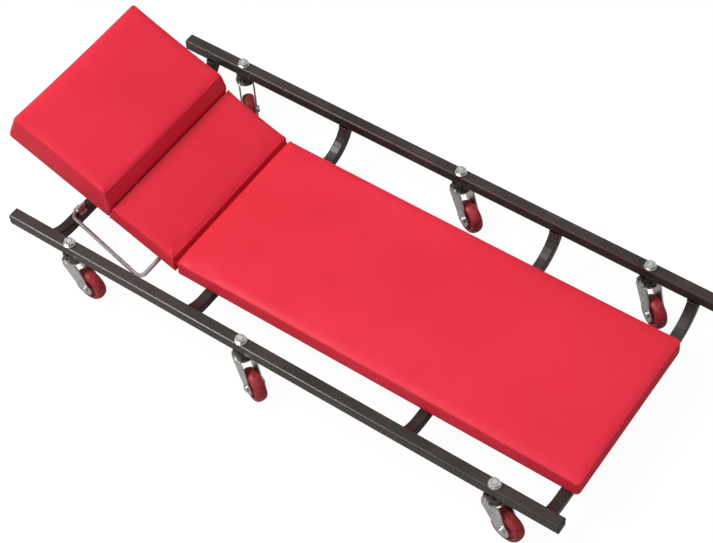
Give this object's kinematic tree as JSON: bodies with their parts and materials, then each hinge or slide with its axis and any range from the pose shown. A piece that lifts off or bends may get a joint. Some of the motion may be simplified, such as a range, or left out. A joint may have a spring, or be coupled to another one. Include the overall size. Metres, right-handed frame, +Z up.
{
  "type": "mechanic creeper",
  "caption": "Low wheeled creeper: square-tube frame on swivel casters, flat padded deck, and a padded head panel that tilts on hinges over a wire prop.",
  "frame": {"origin": "on the floor under the middle of the outline", "axes": "+X to the foot end, +Y to the left side of a person lying on it face up, +Z up"},
  "size_m": [1.0712, 0.5048, 0.2343],
  "materials": {
    "red_vinyl": "satin embossed vinyl",
    "plywood": "raw",
    "black_coated_steel": "semi-gloss powder coat",
    "black_plastic": "moulded",
    "zinc_plated_steel": "bright zinc plate",
    "bright_wire": "bright plated",
    "red_wheel_rubber": "satin"
  },
  "bodies": {
    "frame": {"cross_member_1": "black_coated_steel", "cross_member_2": "black_coated_steel", "cross_member_3": "black_coated_steel", "cross_member_4": "black_coated_steel", "deck_board": "plywood", "deck_pad": "red_vinyl", "hinge_fixed_leaf_left": "zinc_plated_steel", "hinge_fixed_leaf_right": "zinc_plated_steel", "hinge_pin_left": "zinc_plated_steel", "hinge_pin_right": "zinc_plated_steel", "lock_nut_left_foot": "zinc_plated_steel", "lock_nut_left_head": "zinc_plated_steel", "lock_nut_left_middle": "zinc_plated_steel", "lock_nut_right_foot": "zinc_plated_steel", "lock_nut_right_head": "zinc_plated_steel", "lock_nut_right_middle": "zinc_plated_steel", "prop_clip_left": "zinc_plated_steel", "prop_clip_right": "zinc_plated_steel", "rail_left": "black_coated_steel", "rail_plug_left_foot": "black_plastic", "rail_plug_left_head": "black_plastic", "rail_plug_right_foot": "black_plastic", "rail_plug_right_head": "black_plastic", "rail_right": "black_coated_steel", "swivel_head_left_foot": "zinc_plated_steel", "swivel_head_left_head": "zinc_plated_steel", "swivel_head_left_middle": "zinc_plated_steel", "swivel_head_right_foot": "zinc_plated_steel", "swivel_head_right_head": "zinc_plated_steel", "swivel_head_right_middle": "zinc_plated_steel"},
    "head_panel": {"head_board": "plywood", "neck_pad": "red_vinyl", "headrest_pad": "red_vinyl", "hinge_moving_leaf_right": "zinc_plated_steel", "hinge_moving_leaf_left": "zinc_plated_steel"},
    "prop": {"prop_wire": "bright_wire"},
    "caster_fork_right_head": {"fork_right_head": "zinc_plated_steel", "axle_right_head": "zinc_plated_steel"},
    "caster_wheel_right_head": {"wheel_right_head": "red_wheel_rubber"},
    "caster_fork_right_middle": {"fork_right_middle": "zinc_plated_steel", "axle_right_middle": "zinc_plated_steel"},
    "caster_wheel_right_middle": {"wheel_right_middle": "red_wheel_rubber"},
    "caster_fork_right_foot": {"fork_right_foot": "zinc_plated_steel", "axle_right_foot": "zinc_plated_steel"},
    "caster_wheel_right_foot": {"wheel_right_foot": "red_wheel_rubber"},
    "caster_fork_left_head": {"fork_left_head": "zinc_plated_steel", "axle_left_head": "zinc_plated_steel"},
    "caster_wheel_left_head": {"wheel_left_head": "red_wheel_rubber"},
    "caster_fork_left_middle": {"fork_left_middle": "zinc_plated_steel", "axle_left_middle": "zinc_plated_steel"},
    "caster_wheel_left_middle": {"wheel_left_middle": "red_wheel_rubber"},
    "caster_fork_left_foot": {"fork_left_foot": "zinc_plated_steel", "axle_left_foot": "zinc_plated_steel"},
    "caster_wheel_left_foot": {"wheel_left_foot": "red_wheel_rubber"}
  },
  "joints": [
    {"name": "head_tilt", "type": "hinge", "parent": "frame", "child": "head_panel", "pos_m": [-0.21406, 0.00771, 0.0553], "axis": [0, 1, 0], "range_deg": [-18.9, 8.1]},
    {"name": "prop_swing", "type": "hinge", "parent": "frame", "child": "prop", "pos_m": [-0.42466, 0.00771, 0.0623], "axis": [0, 1, 0], "range_deg": [-2.4, 4.94]},
    {"name": "swivel_right_head", "type": "hinge", "parent": "frame", "child": "caster_fork_right_head", "pos_m": [-0.36066, -0.22029, 0], "axis": [0, 0, 1], "continuous": true},
    {"name": "swivel_right_middle", "type": "hinge", "parent": "frame", "child": "caster_fork_right_middle", "pos_m": [-0.02416, -0.22029, 0], "axis": [0, 0, 1], "continuous": true},
    {"name": "swivel_right_foot", "type": "hinge", "parent": "frame", "child": "caster_fork_right_foot", "pos_m": [0.42434, -0.22029, 0], "axis": [0, 0, 1], "continuous": true},
    {"name": "swivel_left_head", "type": "hinge", "parent": "frame", "child": "caster_fork_left_head", "pos_m": [-0.36066, 0.23571, 0], "axis": [0, 0, 1], "continuous": true},
    {"name": "swivel_left_middle", "type": "hinge", "parent": "frame", "child": "caster_fork_left_middle", "pos_m": [0.07434, 0.23571, 0], "axis": [0, 0, 1], "continuous": true},
    {"name": "swivel_left_foot", "type": "hinge", "parent": "frame", "child": "caster_fork_left_foot", "pos_m": [0.41834, 0.23571, 0], "axis": [0, 0, 1], "continuous": true},
    {"name": "roll_right_head", "type": "hinge", "parent": "caster_fork_right_head", "child": "caster_wheel_right_head", "pos_m": [-0.33318, -0.22125, 0.0285], "axis": [0.0349, 0.9994, 0], "continuous": true},
    {"name": "roll_right_middle", "type": "hinge", "parent": "caster_fork_right_middle", "child": "caster_wheel_right_middle", "pos_m": [0.00096, -0.23148, 0.0285], "axis": [0.4067, 0.9135, 0], "continuous": true},
    {"name": "roll_right_foot", "type": "hinge", "parent": "caster_fork_right_foot", "child": "caster_wheel_right_foot", "pos_m": [0.4515, -0.2246, 0.0285], "axis": [0.1564, 0.9877, 0], "continuous": true},
    {"name": "roll_left_head", "type": "hinge", "parent": "caster_fork_left_head", "child": "caster_wheel_left_head", "pos_m": [-0.34156, 0.21593, 0.0285], "axis": [0.7193, 0.6947, 0], "continuous": true},
    {"name": "roll_left_middle", "type": "hinge", "parent": "caster_fork_left_middle", "child": "caster_wheel_left_middle", "pos_m": [0.09946, 0.22452, 0.0285], "axis": [0.4067, 0.9135, 0], "continuous": true},
    {"name": "roll_left_foot", "type": "hinge", "parent": "caster_fork_left_foot", "child": "caster_wheel_left_foot", "pos_m": [0.44191, 0.22154, 0.0285], "axis": [0.515, 0.8572, 0], "continuous": true}
  ],
  "couplings": [
    {"joint": "prop_swing", "follows": "head_tilt", "ratio": -0.235}
  ]
}
